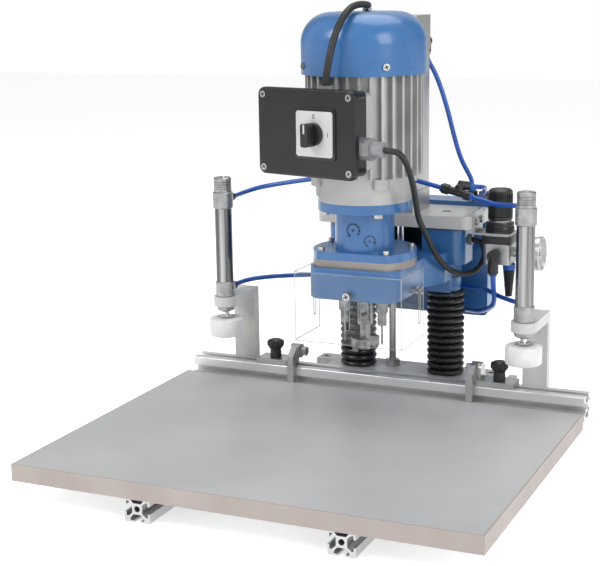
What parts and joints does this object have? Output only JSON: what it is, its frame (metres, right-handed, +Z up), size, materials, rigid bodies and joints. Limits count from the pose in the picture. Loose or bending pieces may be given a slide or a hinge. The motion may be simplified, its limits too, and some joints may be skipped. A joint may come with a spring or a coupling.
{
  "type": "dowel joiner",
  "caption": "Pneumatic dowel and hinge boring machine with sliding motor head, clear guard, table, fence, flip stops and work clamps.",
  "frame": {"origin": "on the bench, at the middle of the machine's width and depth", "axes": "+Z up; the operator stands at -Y; +X to the operator's right"},
  "size_m": [0.525, 0.59, 0.5253],
  "materials": {
    "profile_aluminium": "anodised, drawn",
    "laminate": "grey laminate",
    "edge_band": "warm beige edge band",
    "plate_grey": "light grey paint",
    "screw_steel": "zinc plated",
    "polished_steel": "ground",
    "bellows_rubber": "moulded rubber",
    "machine_blue": "gloss paint",
    "bronze": "sintered bronze",
    "motor_grey": "silver paint",
    "enclosure_grey": "moulded",
    "enclosure_black": "moulded",
    "black_plastic": "moulded",
    "tool_steel": "ground",
    "clear_acrylic": "clear",
    "cylinder_aluminium": "anodised",
    "regulator_metal": "die cast",
    "gauge_metal": "bright",
    "fitting_black": "moulded",
    "cylinder_steel": "ground",
    "white_plastic": "turned nylon",
    "stop_aluminium": "satin",
    "cable_black": "rubber sheath",
    "hose_blue": "polyurethane hose"
  },
  "bodies": {
    "frame": {"base_profiles": "profile_aluminium", "table_board": "laminate", "table_edge_bands": "edge_band", "fence_profile": "profile_aluminium", "base_plate": "plate_grey", "frame_bolts": "screw_steel", "guide_columns": "polished_steel", "top_plate": "plate_grey", "depth_stop_rod": "screw_steel", "column_bellows": "bellows_rubber", "feed_cylinder": "cylinder_aluminium", "rear_housing": "machine_blue", "regulator_body": "regulator_metal", "pressure_gauge": "gauge_metal", "air_fittings": "fitting_black", "clamp_brackets": "plate_grey", "clamp_cylinder_left": "cylinder_steel", "clamp_cylinder_right": "cylinder_steel", "hose_clamp_left_top": "hose_blue", "hose_clamp_right_top": "hose_blue", "hose_clamp_supply": "hose_blue", "hose_feed_top": "hose_blue", "hose_clamp_left_low": "hose_blue", "hose_clamp_right_low": "hose_blue", "hose_feed_low": "hose_blue"},
    "head": {"head_casting": "machine_blue", "guide_bushes": "bronze", "gearbox_spacer": "plate_grey", "motor_adapter": "machine_blue", "head_screws": "screw_steel", "motor_end_shields": "motor_grey", "motor_stator": "motor_grey", "motor_fan_cover": "machine_blue", "terminal_base": "motor_grey", "switch_box": "enclosure_black", "switch_lid": "enclosure_black", "cable_glands": "enclosure_grey", "control_cable": "cable_black", "motor_cable": "cable_black", "spindle_bearings": "polished_steel", "feed_piston": "polished_steel"},
    "spindle": {"motor_rotor": "polished_steel", "centre_spindle": "polished_steel", "hinge_cutter": "tool_steel"},
    "side_spindle_left": {"side_spindle_left": "polished_steel"},
    "side_spindle_right": {"side_spindle_right": "polished_steel"},
    "guard": {"drill_guard": "clear_acrylic"},
    "switch_knob": {"switch_knob": "black_plastic"},
    "regulator_knob": {"regulator_knob": "black_plastic"},
    "gauge_needle": {"gauge_needle": "black_plastic"},
    "clamp_rod_left": {"clamp_rod_left": "polished_steel", "clamp_pad_left": "white_plastic"},
    "stop_left": {"stop_body_left": "stop_aluminium"},
    "stop_flap_left": {"stop_flap_left": "stop_aluminium"},
    "stop_knob_left": {"stop_knob_left": "black_plastic"},
    "clamp_rod_right": {"clamp_rod_right": "polished_steel", "clamp_pad_right": "white_plastic"},
    "stop_right": {"stop_body_right": "stop_aluminium"},
    "stop_flap_right": {"stop_flap_right": "stop_aluminium"},
    "stop_knob_right": {"stop_knob_right": "black_plastic"}
  },
  "joints": [
    {"name": "head_slide", "type": "slide", "parent": "frame", "child": "head", "axis": [0, 0, -1], "range_m": [0, 0.055], "deforming": ["column_bellows", "motor_cable"]},
    {"name": "spindle_spin", "type": "hinge", "parent": "head", "child": "spindle", "pos_m": [0, 0.0734, 0.15], "axis": [0, 0, 1], "continuous": true},
    {"name": "side_spin_left", "type": "hinge", "parent": "head", "child": "side_spindle_left", "pos_m": [-0.024, 0.0674, 0.15], "axis": [0, 0, 1], "continuous": true},
    {"name": "side_spin_right", "type": "hinge", "parent": "head", "child": "side_spindle_right", "pos_m": [0.024, 0.0674, 0.15], "axis": [0, 0, 1], "continuous": true},
    {"name": "guard_slide", "type": "slide", "parent": "head", "child": "guard", "axis": [0, 0, 1], "range_m": [0, 0.035]},
    {"name": "switch_turn", "type": "hinge", "parent": "head", "child": "switch_knob", "pos_m": [-0.01424, -0.0377, 0.3824], "axis": [0.2588, 0.9659, 0], "range_deg": [0, 60]},
    {"name": "regulator_turn", "type": "hinge", "parent": "frame", "child": "regulator_knob", "pos_m": [0.133, 0.19, 0.27], "axis": [0, 0, 1], "range_deg": [-270, 270]},
    {"name": "gauge_turn", "type": "hinge", "parent": "frame", "child": "gauge_needle", "pos_m": [0.18, 0.19, 0.218], "axis": [-1, 0, 0], "range_deg": [0, 270], "stiffness_Nm_per_rad": 0.002},
    {"name": "clamp_slide_left", "type": "slide", "parent": "frame", "child": "clamp_rod_left", "axis": [0, 0, -1], "range_m": [0, 0.05]},
    {"name": "stop_slide_left", "type": "slide", "parent": "frame", "child": "stop_left", "axis": [1, 0, 0], "range_m": [-0.025, 0.03]},
    {"name": "stop_flip_left", "type": "hinge", "parent": "stop_left", "child": "stop_flap_left", "pos_m": [-0.143, 0.124, 0.084], "axis": [-1, 0, 0], "range_deg": [0, 110]},
    {"name": "stop_knob_turn_left", "type": "hinge", "parent": "stop_left", "child": "stop_knob_left", "pos_m": [-0.143, 0.12, 0.08], "axis": [0, 0, 1], "range_deg": [0, 270]},
    {"name": "clamp_slide_right", "type": "slide", "parent": "frame", "child": "clamp_rod_right", "axis": [0, 0, -1], "range_m": [0, 0.05]},
    {"name": "stop_slide_right", "type": "slide", "parent": "frame", "child": "stop_right", "axis": [1, 0, 0], "range_m": [-0.03, 0.025]},
    {"name": "stop_flip_right", "type": "hinge", "parent": "stop_right", "child": "stop_flap_right", "pos_m": [0.155, 0.124, 0.084], "axis": [-1, 0, 0], "range_deg": [0, 110]},
    {"name": "stop_knob_turn_right", "type": "hinge", "parent": "stop_right", "child": "stop_knob_right", "pos_m": [0.155, 0.12, 0.08], "axis": [0, 0, 1], "range_deg": [0, 270]}
  ],
  "couplings": [
    {"joint": "side_spin_left", "follows": "spindle_spin", "ratio": -1.2222},
    {"joint": "side_spin_right", "follows": "spindle_spin", "ratio": -1.2222}
  ]
}
